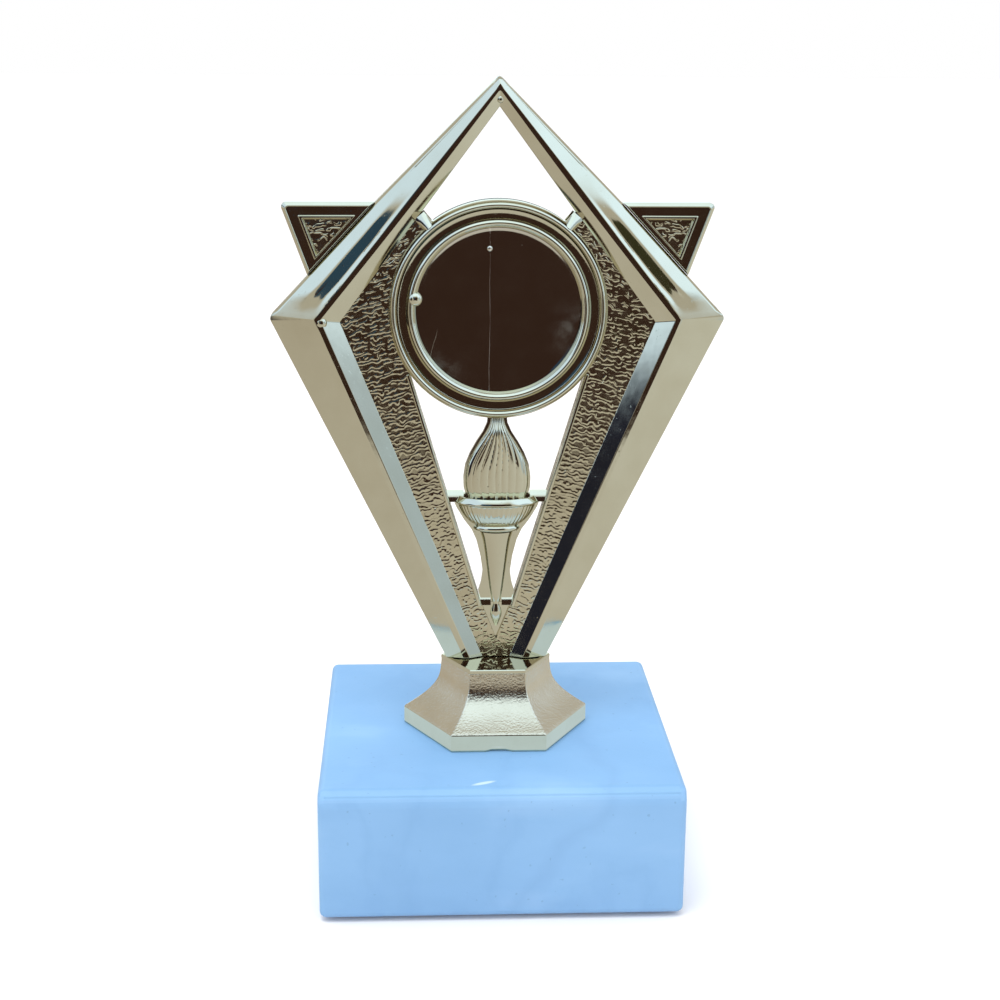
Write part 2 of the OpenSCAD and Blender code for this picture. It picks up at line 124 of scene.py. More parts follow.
WINDOW_POINT_Z = BASE_TOP + 15.1
WINDOW_FOOT_HALF_W = 2.6
WINDOW_FOOT_Z = BASE_TOP + 21.6
WINDOW_FOOT = np.array([WINDOW_FOOT_HALF_W, WINDOW_FOOT_Z])
WINDOW_ANGLE = math.radians(36)
WINDOW_TOP = np.array([RING_R * math.cos(WINDOW_ANGLE), RING_Z - RING_R * math.sin(WINDOW_ANGLE)])
RIM_W = 0.7
RIM_H = 0.35
LOW_TAB_DROP = 0.3
LOW_TAB_Z = WINDOW_FOOT_Z - LOW_TAB_DROP
LUG_UP, LUG_DOWN = math.radians(50), math.radians(34)
PANEL_PAST_RING = 0.9
PANEL_TOP = RING_Z + (RING_R + PANEL_PAST_RING) * math.sin(LUG_UP)


# ---------------- small mathematics
def lerp(a, b, t):
    return a + (b - a) * t


def smooth(low, high, x):
    t = np.clip((x - low) / (high - low), 0, 1)
    return t * t * (3 - 2 * t)


def unit(v):
    return v / np.linalg.norm(v)


def x_at(a, b, z):
    return lerp(a[0], b[0], (z - a[1]) / (b[1] - a[1]))


@functools.lru_cache
def noise_table(seed):
    return np.random.RandomState(seed).rand(256, 256)


def value_noise(x, z, seed):
    """Smooth noise from 0 to 1 on a unit lattice."""
    table = noise_table(seed)
    xi, zi = np.floor(x).astype(int), np.floor(z).astype(int)
    u, v = x - xi, z - zi
    u, v = u * u * (3 - 2 * u), v * v * (3 - 2 * v)
    corner = lambda i, j: table[(xi + i) & 255, (zi + j) & 255]
    return lerp(lerp(corner(0, 0), corner(1, 0), u), lerp(corner(0, 1), corner(1, 1), u), v)


def ripples(x, z, pitch=0.74, seed=3):
    """Height from 0 to 1 of the moulded grain: short wavy ridges that run roughly across.

    A place is divided by the size of a noise's cells, in millimetres, to set how coarse it is.
    """
    warp = value_noise(x / 0.8, z / 0.7, seed) + 0.4 * value_noise(x / 0.42, z / 0.4, seed + 1)
    ridge = np.sin(2 * math.pi * (z / pitch + 1.2 * warp))
    strength = 0.1 + 0.95 * smooth(0.2, 0.6, value_noise(x / 0.55, z / 0.5, seed + 2))
    return strength * smooth(0.0, 1.0, ridge)


# ---------------- mesh building
def grid_faces(rows, columns, wrap=False):
    """Quads of a grid whose points run along the columns first."""
    last = columns if wrap else columns - 1
    r, c = np.meshgrid(np.arange(rows - 1), np.arange(last), indexing="ij")
    here, above, n = r * columns, (r + 1) * columns, (c + 1) % columns
    quads = np.stack([here + c, here + n, above + n, above + c], -1)
    return [tuple(q) for q in quads.reshape(-1, 4).tolist()]


def circle(steps):
    """Angles all round a turn."""
    return np.linspace(0, 2 * math.pi, steps, endpoint=False)


def level_ring(a, half_x, half_y, z):
    """Points at the angles a round an ellipse, or a wavy one, at one height."""
    return np.stack([half_x * np.cos(a), half_y * np.sin(a), np.full_like(a, z)], 1)


class Shape:
    """Points in millimetres and faces, gathered before they become one mesh."""

    def __init__(self):
        self.points, self.faces, self.slots = [], [], []

    def add(self, points, faces, slot=0):
        start = len(self.points)
        self.points.extend(np.asarray(points, float).tolist())
        self.faces.extend(tuple(i + start for i in f) for f in faces)
        self.slots.extend([slot] * len(faces))

    def loft(self, sections, slot=0):
        """A skin over closed sections of equal numbers of points, capped at both ends."""
        sections = np.asarray(sections, float)
        rows, columns = sections.shape[:2]
        faces = grid_faces(rows, columns, wrap=True)
        faces.append(tuple(range(columns)))
        faces.append(tuple(range((rows - 1) * columns, rows * columns)))
        self.add(sections.reshape(-1, 3), faces, slot)

    def prism(self, outline, front, back, slot=0):
        """A flat outline in x and z, given a depth from front to back in y."""
        self.loft([[(x, front, z) for x, z in outline], [(x, back, z) for x, z in outline]], slot)

    def lathe(self, profile, centre, axis="y", steps=128, slot=0):
        """Turns a profile of radius and height about the y or z axis through centre."""
        rows = []
        for r, h in profile:
            turn = [(r * math.cos(a), r * math.sin(a)) for a in circle(steps)]
            rows.append([(p, h, q) if axis == "y" else (p, q, h) for p, q in turn])
        self.loft(np.array(rows) + np.asarray(centre), slot)

    def dome(self, centre, radius, height, slot=0):
        """A low blob that stands out of a face towards -Y, with its foot sunk in the face."""
        sunk = (radius * 0.9, 0.3)
        crown = [(radius * math.cos(t), -height * math.sin(t)) for t in np.linspace(0, 0.49 * math.pi, 5)]
        self.lathe([sunk] + crown, centre, steps=16, slot=slot)

    def mirrored(self):
        """The same shape on the other side of the parting plane."""
        other = Shape()
        other.points = [(x, -y, z) for x, y, z in self.points]
        other.faces, other.slots = list(self.faces), list(self.slots)
        return other

    def mesh(self, name):
        made = bpy.data.meshes.new(name)
        made.from_pydata([tuple(c * MM for c in p) for p in self.points], [], self.faces)
        return made


def link_object(name, data):
    obj = bpy.data.objects.new(name, data)
    bpy.context.scene.collection.objects.link(obj)
    return obj


FACET, TEXTURE, WALL = 0, 1, 2
TEXTURE_TURN, WALL_TURN = 60, 35  # degrees between two faces that still look like one
WELD = 0.002


def mark_edges(bm, facet, bevel):
    """Sharp edges, where two faces turn by more than their slots allow; grain isn't rounded."""
    turns = {FACET: facet, TEXTURE: TEXTURE_TURN, WALL: WALL_TURN}
    limit = {slot: math.radians(turn) for slot, turn in turns.items()}
    weight = bm.edges.layers.float.new("bevel_weight_edge") if bevel else None
    for edge in bm.edges:
        if len(edge.link_faces) != 2:
            edge.smooth = False
            continue
        a, b = edge.link_faces
        if a.normal.angle(b.normal, 0.0) > max(limit[a.material_index], limit[b.material_index]):
            edge.smooth = False
            if bevel and TEXTURE not in (a.material_index, b.material_index):
                edge[weight] = 1.0


def piece(name, shape, materials, replaces, bevel=0.0, angle=30, segments=3):
    """Makes the mesh object, welds it, rounds its edges and hangs it on the frame."""
    mesh = shape.mesh(name)
    for m in materials:
        mesh.materials.append(m)
    mesh.polygons.foreach_set("material_index", shape.slots)
    mesh.shade_smooth()
    bm = bmesh.new()
    bm.from_mesh(mesh)
    bmesh.ops.remove_doubles(bm, verts=bm.verts, dist=WELD * MM)
    bmesh.ops.dissolve_degenerate(bm, edges=bm.edges, dist=WELD * MM)
    bmesh.ops.recalc_face_normals(bm, faces=bm.faces)
    mark_edges(bm, angle, bevel)
    bm.to_mesh(mesh)
    bm.free()
    obj = link_object(name, mesh)
    if bevel:
        mod = obj.modifiers.new("rounded edges", "BEVEL")
        mod.width = bevel * MM
        mod.segments = segments
        mod.limit_method = "WEIGHT"
        mod.use_clamp_overlap = False
        mod.harden_normals = True
        mod.miter_outer = "MITER_ARC"
    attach(obj, "root")
    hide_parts(*replaces)
    return obj


# ---------------- materials
class Nodes:
    """A short way to write a node tree."""

    def __init__(self, tree):
        self.tree = tree

    def node(self, kind, **values):
        made = self.tree.nodes.new(kind)
        for key, value in values.items():
            if hasattr(made, key):
                setattr(made, key, value)
            else:
                made.inputs[key].default_value = value
        return made

    def link(self, out, to):
        self.tree.links.new(out, to)

    def feed(self, socket, value):
        """Gives a socket its value: another node's output, a colour or a number."""
        if hasattr(value, "is_linked"):
            self.link(value, socket)
        elif hasattr(value, "__len__"):
            socket.default_value = (*value, 1)
        else:
            socket.default_value = value

    def calc(self, operation, *values):
        made = self.node("ShaderNodeMath", operation=operation)
        for socket, value in zip(made.inputs, values):
            self.feed(socket, value)
        return made.outputs[0]

    def span(self, value, low, high, at_low=0.0, at_high=1.0, curve="LINEAR"):
        """Maps a value that runs from low to high to another span."""
        made = self.node("ShaderNodeMapRange", interpolation_type=curve)
        names = ("Value", "From Min", "From Max", "To Min", "To Max")
        for name, number in zip(names, (value, low, high, at_low, at_high)):
            self.feed(made.inputs[name], number)
        return made.outputs[0]

    def mix(self, factor, a, b):
        made = self.node("ShaderNodeMix", data_type="RGBA")
        for socket, value in ((made.inputs["Factor"], factor), (made.inputs[6], a), (made.inputs[7], b)):
            self.feed(socket, value)
        return made.outputs[2]


class Looks(Nodes):
    """The nodes of one material, laid out on the object's own places."""

    def __init__(self, name):
        self.material = bpy.data.materials.new(name)
        self.material.use_nodes = True
        super().__init__(self.material.node_tree)
        self.bsdf = next(n for n in self.tree.nodes if n.type == "BSDF_PRINCIPLED")
        self.place = self.node("ShaderNodeTexCoord").outputs["Object"]

    def noise(self, scale_mm, detail=3.0, stretch=(1, 1, 1)):
        """Noise whose features are about scale_mm across."""
        place = self.node("ShaderNodeMapping")
        place.inputs["Scale"].default_value = [1 / (scale_mm * MM * s) for s in stretch]
        self.link(self.place, place.inputs["Vector"])
        made = self.node("ShaderNodeTexNoise")
        made.inputs["Scale"].default_value = 1.0
        made.inputs["Detail"].default_value = detail
        self.link(place.outputs["Vector"], made.inputs["Vector"])
        return made.outputs["Fac"]

    def ramp(self, factor, stops):
        made = self.node("ShaderNodeValToRGB")
        elements = made.color_ramp.elements
        while len(elements) < len(stops):
            elements.new(0.5)
        for element, (position, value) in zip(elements, stops):
            element.position = position
            element.color = (*value, 1) if hasattr(value, "__len__") else (value, value, value, 1)
        self.link(factor, made.inputs["Fac"])
        return made.outputs["Color"]

    def bump(self, height, distance_mm, strength=1.0, under=None):
        made = self.node("ShaderNodeBump")
        made.inputs["Strength"].default_value = strength
        made.inputs["Distance"].default_value = distance_mm * MM
        self.link(height, made.inputs["Height"])
        if under is not None:
            self.link(under, made.inputs["Normal"])
        return made.outputs["Normal"]

    def set(self, **values):
        names = {"base": "Base Color", "rough": "Roughness", "metal": "Metallic", "normal": "Normal",
                 "sheen": "Sheen Weight", "specular": "Specular IOR Level"}
        for key, value in values.items():
            self.feed(self.bsdf.inputs[names[key]], value)
        return self.material


GOLD = (0.62, 0.585, 0.43)
GOLD_DEEP = (0.50, 0.45, 0.30)


def plated(name, light=GOLD, deep=GOLD_DEEP, rough=(0.05, 0.12), wave=0.012, grain=0.0):
    """Vacuum plated plastic: a mirror with slight waves, small pits and a little haze."""
    m = Looks(name)
    haze = m.noise(6, 4)
    fine = m.noise(0.5, 2)
    tone = m.mix(m.ramp(haze, [(0.35, 0.0), (0.75, 0.35)]), light, deep)
    roughness = m.ramp(m.noise(2.2, 5), [(0.3, rough[0]), (0.75, rough[1])])
    normal = m.bump(m.noise(3.5, 2), wave)
    pits = m.ramp(fine, [(0.2, 0.0), (0.3, 1.0)])
    normal = m.bump(pits, 0.012, 0.6, normal)
    if grain:
        normal = m.bump(m.noise(0.32, 3), grain, 1.0, normal)
    return m.set(base=tone, rough=roughness, metal=1.0, normal=normal)


def seat_mirror():
    """The polished disc: a faint moulding line, a broken scratch and hazy patches at its rim."""
    m = Looks("seat_mirror")
    split = m.node("ShaderNodeSeparateXYZ")
    m.link(m.place, split.inputs["Vector"])

    def line(offset_mm, wander_mm, scale_mm, half_mm):
        """A thin wandering upright line: 1 on it and 0 beside it."""
        bent = m.calc("MULTIPLY_ADD", m.noise(scale_mm, 1), wander_mm * MM, split.outputs["X"])
        away = m.calc("ABSOLUTE", m.calc("ADD", bent, offset_mm * MM))
        return m.span(away, half_mm * MM, 2.2 * half_mm * MM, 1.0, 0.0)

    def patch(x, z, radius_mm):
        """A soft cloudy spot round a place on the disc."""
        gap = m.node("ShaderNodeVectorMath", operation="DISTANCE")
        m.link(m.place, gap.inputs[0])
        gap.inputs[1].default_value = (x * MM, -RING_HALF * MM, z * MM)
        near = m.span(gap.outputs["Value"], 0.2 * radius_mm * MM, radius_mm * MM, 1.0, 0.0)
        return m.calc("MULTIPLY", near, m.ramp(m.noise(2.4, 5), [(0.42, 0.0), (0.62, 1.0)]))

    hairline = line(0.9, 1.0, 14, 0.022)
    broken = m.ramp(m.noise(3.5, 1), [(0.5, 0.0), (0.56, 1.0)])
    scratch = m.mix(broken, (0, 0, 0), line(6.4, 9.0, 13, 0.02))
    haze = m.mix(patch(12.5, RING_Z - 3, 6), patch(-9.5, RING_Z - 10, 5), (1, 1, 1))
    tone = m.mix(haze, (0.62, 0.58, 0.47), (0.6, 0.62, 0.56))
    tone = m.mix(hairline, tone, (0.9, 0.84, 0.76))
    rough = m.mix(m.ramp(m.noise(4, 3), [(0.4, 0.0), (0.8, 1.0)]), (0.05,) * 3, (0.12,) * 3)
    rough = m.mix(haze, rough, (0.27,) * 3)
    rough = m.mix(scratch, rough, (0.35,) * 3)
    normal = m.bump(hairline, 0.012, 0.5, m.bump(m.noise(6, 2), 0.02))
    return m.set(base=tone, rough=rough, metal=1.0, normal=normal)


def marble(name, cut):
    """Pale blue stone with clouds, veins, specks and a scuff; the chamfer's copy is paler, partly for its
    freshly cut, less polished face and partly as a painted highlight where it faces the light.
    """
    m = Looks(name)
    clouds = m.ramp(m.noise(22, 6, (1.6, 1, 0.7)),
                    [(0.3, (0.205, 0.415, 0.70)), (0.7, (0.245, 0.475, 0.775))])
    band = m.noise(30, 7, (0.8, 1, 1.3))
    vein = m.ramp(band, [(0.46, 0.0), (0.5, 0.16), (0.54, 0.0)])
    tone = m.mix(vein, clouds, (0.16, 0.34, 0.62))
    pale = m.ramp(m.noise(17, 5, (1.8, 1, 0.8)), [(0.56, 0.0), (0.7, 0.4)])
    tone = m.mix(pale, tone, (0.33, 0.56, 0.84))
    speck = m.ramp(m.noise(0.9, 1), [(0.225, 0.3), (0.25, 0.0)])
    tone = m.mix(speck, tone, (0.11, 0.22, 0.42))
    slant = m.node("ShaderNodeVectorMath", operation="DOT_PRODUCT")
    m.link(m.place, slant.inputs[0])
    slant.inputs[1].default_value = (0.82 / MM / 60, 0.2 / MM / 60, -0.57 / MM / 60)
    course = m.calc("MULTIPLY_ADD", m.noise(14, 4), 0.22, slant.outputs["Value"])
    tone = m.mix(m.ramp(course, [(0.01, 0.0), (0.045, 0.16), (0.08, 0.0)]), tone, (0.15, 0.30, 0.56))
    # Painted highlight: the chamfer's copy is made paler, partly for its sawn, less polished face and
    # partly for the light it catches.
    if cut:
        tone = m.mix(0.12, tone, (0.42, 0.68, 0.95))
    scuff = m.node("ShaderNodeMapping", vector_type="TEXTURE")
    scuff.inputs["Location"].default_value = (-2.9 * MM, -25.2 * MM, BASE_TOP * MM)
    scuff.inputs["Rotation"].default_value = (0, 0, math.radians(22))
    scuff.inputs["Scale"].default_value = (2.3 * MM, 0.55 * MM, 3 * MM)
    m.link(m.place, scuff.inputs["Vector"])
    size = m.node("ShaderNodeVectorMath", operation="LENGTH")
    m.link(scuff.outputs["Vector"], size.inputs[0])
    tone = m.mix(m.ramp(size.outputs["Value"], [(0.55, 0.8), (1.0, 0.0)]), tone, (0.62, 0.8, 0.92))
    rough = m.ramp(m.noise(8, 4), [(0.3, 0.38), (0.7, 0.52)])
    normal = m.bump(m.noise(0.7, 4), 0.03, 0.8, m.bump(m.noise(9, 2), 0.06))
    return m.set(base=tone, rough=rough, metal=0.0, normal=normal, specular=0.35)


def zinc():
    """Bright zinc plate with a fine turned grain."""
    m = Looks("zinc_steel")
    tone = m.mix(m.noise(1.5, 4), (0.48, 0.49, 0.50), (0.66, 0.67, 0.66))
    normal = m.bump(m.noise(0.3, 2, (1, 1, 0.2)), 0.01)
    rough = m.ramp(m.noise(1.2, 3), [(0.3, 0.22), (0.7, 0.42)])
    return m.set(base=tone, rough=rough, metal=1.0, normal=normal)


def felt():
    """Dark felt with loose fibres."""
    m = Looks("felt")
    tone = m.mix(m.noise(0.5, 4), (0.018, 0.022, 0.018), (0.07, 0.075, 0.065))
    return m.set(base=tone, rough=0.95, sheen=0.4, normal=m.bump(m.noise(0.25, 3), 0.15))


MIRROR = plated("plated_mirror")
GRAIN = plated("plated_grain", (0.60, 0.54, 0.37), (0.42, 0.36, 0.23), (0.1, 0.2), 0.004)
SATIN = plated("plated_satin", (0.64, 0.57, 0.42), (0.5, 0.43, 0.3), (0.16, 0.26), 0.02, 0.075)
SEAT = seat_mirror()
MARBLE, MARBLE_SAWN_CHAMFER_HIGHLIGHT = marble("marble", False), marble("marble_sawn_chamfer_highlight", True)
ZINC = zinc()
FELT = felt()


# ---------------- half mouldings
APEX_ROUND, CORNER_ROUND = 0.6, 0.9


def rounded(before, corner, after, radius, steps=6):
    """Points along an arc that rounds a corner of an outline, from the first side to the second."""
    a, b = unit(before - corner), unit(after - corner)
    half = math.acos(np.clip(np.dot(a, b), -1, 1)) / 2
    centre = corner + unit(a + b) * radius / math.sin(half)
    reach = radius / math.tan(half)
    start, end = corner + a * reach - centre, corner + b * reach - centre
    turn = math.pi - 2 * half
    return [centre + (start * math.sin((1 - t) * turn) + end * math.sin(t * turn)) / math.sin(turn)
            for t in np.linspace(0, 1, steps)]


def bar_stations():
    """Stations along the right bars, from the foot over the corner and shoulder to the apex."""
    shoulder_t = (EDGE_APEX[1] - SHOULDER_Z) / (EDGE_APEX[1] - EDGE_CORNER[1])
    at_foot = (EDGE_FOOT, RIDGE_FOOT, INNER_FOOT, RIDGE_D_FOOT)
    at_corner = (EDGE_CORNER, RIDGE_CORNER, INNER_CORNER, RIDGE_D_CORNER)
    at_apex = (EDGE_APEX, RIDGE_APEX, INNER_APEX, RIDGE_D_APEX)
    shoulder = tuple(lerp(a, b, shoulder_t) for a, b in zip(at_apex, at_corner))
    edge = np.array([x_at(EDGE_APEX, EDGE_CORNER, SHOULDER_Z) + SHOULDER_BULGE, SHOULDER_Z])
    at_shoulder = (edge, *shoulder[1:])
    corner_arc = rounded(EDGE_FOOT, EDGE_CORNER, edge, CORNER_ROUND, 8)
    apex_arc = rounded(edge, EDGE_APEX, edge * (-1, 1), APEX_ROUND, 11)
    near_corner = [(p, *at_corner[1:], 0.0) for p in corner_arc]
    near_apex = [(p, *at_apex[1:], 1.0) for p in apex_arc[:6]]
    stations = []
    for first, second, steps, low in ((at_foot, (corner_arc[0], *at_corner[1:]), 28, None),
                                      ((corner_arc[-1], *at_corner[1:]), at_shoulder, 24, 0.0),
                                      (at_shoulder, (apex_arc[0], *at_apex[1:]), 24, 1.0)):
        for i in range(1 if low == 0.0 else 0, steps):
            t = i / steps
            upper = 0.0 if low is None else (low + t) / 2
            stations.append((*[lerp(a, b, t) for a, b in zip(first, second)], upper))
        if low is None:
            stations += near_corner
    return stations + near_apex


# The hollow below each shoulder: a steep outer part, a nearly flat floor and a steep rise to the ridge.
HOLLOW_U = np.linspace(0, 1, 101)
HOLLOW_SLOPE = lerp(lerp(1.5, 0.3, smooth(0.36, 0.62, HOLLOW_U)), 1.8, smooth(0.83, 0.94, HOLLOW_U))
HOLLOW_RISE = np.cumsum(HOLLOW_SLOPE) - HOLLOW_SLOPE[0]
HOLLOW_RISE = HOLLOW_RISE / HOLLOW_RISE[-1]
RIM_RUN, RIM_FALL = 0.5, 0.45  # the slope along the outer edge of the upper bars


def bar_section(edge, ridge, inner, depth, upper):
    """One closed section: wall, outer facet, narrow land along the ridge, inner facet."""
    land = ridge + LAND_W * unit(inner - ridge)
    hollow = smooth(0.02, 0.16, upper) * (1 - smooth(0.34, 0.58, upper))
    width = np.linalg.norm(ridge - edge)
    margin = min(0.3, 0.22 / width)
    rim = min(0.24, RIM_RUN / width) * (0 if upper == 0 else 1)
    low = -WALL_HALF + RIM_FALL * (rim > 0)
    points = [(edge[0], 0, edge[1]), (edge[0], low, edge[1])]
    sway = 0.09 * (value_noise(np.array(edge[1] / 2.3), np.array(4.0), 51) - 0.5)
    for u in lerp(max(rim, margin), 1 - margin, np.linspace(0, 1, 20)):
        at = lerp(edge, ridge, u)
        streak = 0.012 * (value_noise(np.array(11 * u), np.array(edge[1] / 5), 53) - 0.5)
        share = lerp(u, np.interp(np.clip(u + sway, 0, 1), HOLLOW_U, HOLLOW_RISE) + streak, hollow)
        points.append((at[0], -lerp(WALL_HALF, depth, share), at[1]))
    points += [(ridge[0], -depth, ridge[1]), (land[0], -depth, land[1]),
               (inner[0], -PANEL_D, inner[1]), (inner[0], 0, inner[1])]
    return points


def flipped(points):
    return [(-x, y, z) for x, y, z in points]


def panel_edge(z):
    """Inner side of a grained panel: the window's V, its straight side, then the ring."""
    z = np.asarray(z, float)
    low = WINDOW_FOOT[0] * (z - WINDOW_POINT_Z) / (WINDOW_FOOT[1] - WINDOW_POINT_Z)
    side = x_at(WINDOW_FOOT, WINDOW_TOP, z)
    ring = np.sqrt(np.clip((RING_R - 0.1) ** 2 - (z - RING_Z) ** 2, 0, None))
    below = [z < WINDOW_POINT_Z, z < WINDOW_FOOT[1], z < WINDOW_TOP[1]]
    return np.select(below, [np.zeros_like(z), low, side], ring)


def bar_edge(z):
    """Outer side of a grained panel, a little under the bar's inner facet."""
    lower, upper = x_at(INNER_FOOT, INNER_CORNER, z), x_at(INNER_CORNER, INNER_APEX, z)
    return np.where(z < INNER_CORNER[1], lower, upper) + 0.15


GRAIN_HEIGHT = 0.055


def grained_panels(shape, slot):
    """The two panels beside the window, closed at their sides and at the parting plane."""
    rows, columns = 780, 84
    z = np.linspace(EDGE_FOOT[1], PANEL_TOP, rows)[:, None]
    u = np.linspace(0, 1, columns)[None, :]
    for s in (-1, 1):
        x = s * lerp(panel_edge(z), bar_edge(z), u)
        zz = np.broadcast_to(z, x.shape)
        tilt = zz + 0.25 * np.abs(x)
        y = -PANEL_D - GRAIN_HEIGHT * ripples(x + 60, tilt, seed=3 + s)
        front = np.stack([x, y, zz], -1).reshape(-1, 3)
        back = front * (1, 0, 1)
        n = rows * columns
        border = list(range(columns)) + [r * columns + columns - 1 for r in range(1, rows)]
        border += [(rows - 1) * columns + c for c in range(columns - 2, -1, -1)]
        border += [r * columns for r in range(rows - 2, 0, -1)]
        faces = grid_faces(rows, columns)
        m = len(border)
        faces += [(border[i], border[(i + 1) % m], n + (i + 1) % m, n + i) for i in range(m)]
        faces.append(tuple(range(n, n + m)))
        shape.add(np.concatenate([front, back[border]]), faces, slot)


def window_rims(shape):
    """The thin raised rim along both sides of the window, down into its V."""
    outer = unit(np.array([WINDOW_TOP[1] - WINDOW_FOOT[1], WINDOW_FOOT[0] - WINDOW_TOP[0]]))
    for s in (-1, 1):
        sections = []
        for t in np.linspace(-0.02, 1, 40):
            at = lerp(WINDOW_FOOT, WINDOW_TOP, t)
            section = [at, at + 0.18 * outer * RIM_W, at + 0.82 * outer * RIM_W, at + outer * RIM_W]
            depth = [PANEL_D + 0.1, PANEL_D + RIM_H, PANEL_D + RIM_H, PANEL_D - 0.1]
            ring = [(s * p[0], -d, p[1]) for p, d in zip(section, depth)]
            ring += [(s * section[-1][0], 0, section[-1][1]), (s * at[0], 0, at[1])]
            sections.append(ring)
        shape.loft(sections)


def half_moulding():
    """The front half: bars, panels and window rims."""
    shape = Shape()
    right = [bar_section(*station) for station in bar_stations()]
    left = [flipped(section) for section in right[-2::-1]]
    shape.loft(right + left)
    sides = len(right[0])
    for i in range((2 * len(right) - 2) * sides):
        if i % sides in (0, sides - 1):  # the outer wall and the parting face
            shape.slots[i] = WALL
    grained_panels(shape, TEXTURE)
    window_rims(shape)
    return shape


def gate_marks(shape):
    """Small blobs that the plated moulding keeps at its gates."""
    shape.dome((-RIDGE_CORNER[0] + 0.9, -RIDGE_D_CORNER + 0.55, RIDGE_CORNER[1] - 0.6),
               1.05, 0.65, slot=WALL)
    shape.dome((0.1, -RIDGE_D_APEX + 0.6, INNER_APEX[1] + 1.1), 0.6, 0.35, slot=WALL)


front = half_moulding()
rear = front.mirrored()
gate_marks(front)
PLATED_LOOKS = [MIRROR, GRAIN, MIRROR]
for side_name, half in (("front", front), ("rear", rear)):
    piece(f"{side_name}_half_moulding", half, PLATED_LOOKS, [f"{side_name}_frame"],
          bevel=0.12, angle=7)


# ---------------- wings
SHOULDER = np.array([x_at(EDGE_APEX, EDGE_CORNER, SHOULDER_Z) + SHOULDER_BULGE, SHOULDER_Z])
WING_TIP = np.array([WING_HIGH[0], WING_HIGH[2]])
WING_LOW_Z = BASE_TOP + 75.4
WING_POINT = np.array([x_at(SHOULDER, EDGE_CORNER, WING_LOW_Z), WING_LOW_Z])
WING_RIM, WING_BORDER, WING_BEAD, WING_DEEP = 0.5, 1.5, 0.45, 0.35
WING_GRAIN_HEIGHT = 0.05
LOW_SIDE_SHARE = 0.4  # how wide the border is along the side that meets the frame


def inset_triangle(triangle, distances):
    """The triangle moved in from its sides a-b, b-c and c-a by the three distances."""
    centre = triangle.mean(0)
    lines = []
    for i in range(3):
        a, b = triangle[i], triangle[(i + 1) % 3]
        normal = unit(np.array([-(b - a)[1], (b - a)[0]]))
        if np.dot(centre - a, normal) < 0:
            normal = -normal
        lines.append((normal, np.dot(a, normal) + distances[i]))
    pairs = [(lines[i - 1], lines[i]) for i in range(3)]
    return np.array([np.linalg.solve(np.array([n1, n2]), [d1, d2]) for (n1, d1), (n2, d2) in pairs])


def rounded_triangle(triangle, radius):
    """The triangle's outline with its tip, the second corner, rounded."""
    tip = rounded(triangle[0], triangle[1], triangle[2], radius, 7)
    return np.array([triangle[0], *tip, triangle[2]])


def wing(s):
    """A plate with a thin light rim, a flat border, a raised bead and a grained field, on both faces."""
    shape = Shape()
    start, low = SHOULDER + (0.1, 0), WING_POINT + (0.1, 0)
    outline = np.array([start, WING_TIP, low])
    border, bead_end = WING_RIM + WING_BORDER, WING_RIM + WING_BORDER + WING_BEAD
    flat = WALL_HALF - 0.15
    # distance in from the outline, radius at the tip, and depth
    steps = [(0, 0.7, WALL_HALF - 0.4), (WING_RIM, 0.5, WALL_HALF), (WING_RIM + 0.1, 0.4, flat),
             (border, 0.1, flat), (border + 0.1, 0.1, WALL_HALF), (bead_end - 0.05, 0.1, WALL_HALF),
             (bead_end + 0.2, 0.05, flat - WING_DEEP)]
    inset = lambda d: inset_triangle(outline, (d, d, LOW_SIDE_SHARE * d))
    loops = [(rounded_triangle(inset(d), r), depth) for d, r, depth in steps]
    for side in (-1, 1):
        rows = [[(s * x, side * depth, z) for x, z in loop] for loop, depth in loops]
        shape.add(np.array(rows).reshape(-1, 3), grid_faces(len(rows), len(rows[0]), wrap=True))
        distance, _, depth = steps[-1]
        field = inset(distance)
        n = 110
        i, j = np.array([(i, j) for i in range(n + 1) for j in range(n + 1 - i)]).T
        places = field[0] + np.outer(i / n, field[1] - field[0]) + np.outer(j / n, field[2] - field[0])
        inside = np.minimum(np.minimum(i, j), n - i - j) > 0
        lift = WING_GRAIN_HEIGHT * ripples(places[:, 0], places[:, 1], 0.8, 21) * inside
        index = {pair: k for k, pair in enumerate(zip(i.tolist(), j.tolist()))}
        faces = []
        for (a, b), k in index.items():
            if a + b < n:
                faces.append((k, index[a + 1, b], index[a, b + 1]))
            if a + b < n - 1:
                faces.append((index[a + 1, b], index[a + 1, b + 1], index[a, b + 1]))
        points = np.stack([s * places[:, 0], side * (depth + lift), places[:, 1]], 1)
        shape.add(points, faces, TEXTURE)
    edge, depth = loops[0]
    rows = [[(s * x, y, z) for x, z in edge] for y in (-depth, depth)]
    shape.add(np.array(rows).reshape(-1, 3), grid_faces(2, len(edge), wrap=True), WALL)
    return shape


for side_name, sign in (("left", -1), ("right", 1)):
    piece(f"{side_name}_wing_plate", wing(sign), PLATED_LOOKS,
          [f"{side_name}_wing"], bevel=0.05, angle=28, segments=2)


# ---------------- emblem ring and seats
RECESS_R, RECESS_D = 13.0, 1.4
SEAT_VISIBLE_R = 12.95
SEAT_PROUD = 0.16
OUTER_BEAD_R, INNER_BEAD_R = 16.55, 13.82
GROOVE_D = 0.78
LUG_PAST_RING, LUG_HALF_W, LUG_HALF_D = 2.8, 0.75, 0.95


def bead(centre, half_width, top, rise, steps=9):
    """A rounded crown: a profile of radius and depth from the outer foot to the inner foot."""
    angles = np.linspace(-1, 1, steps)
    return [(centre - half_width * a, top - rise * (1 - math.cos(a * math.pi / 2))) for a in angles]


FILLET_TURN = np.linspace(-0.2, math.pi + 0.2, 9)


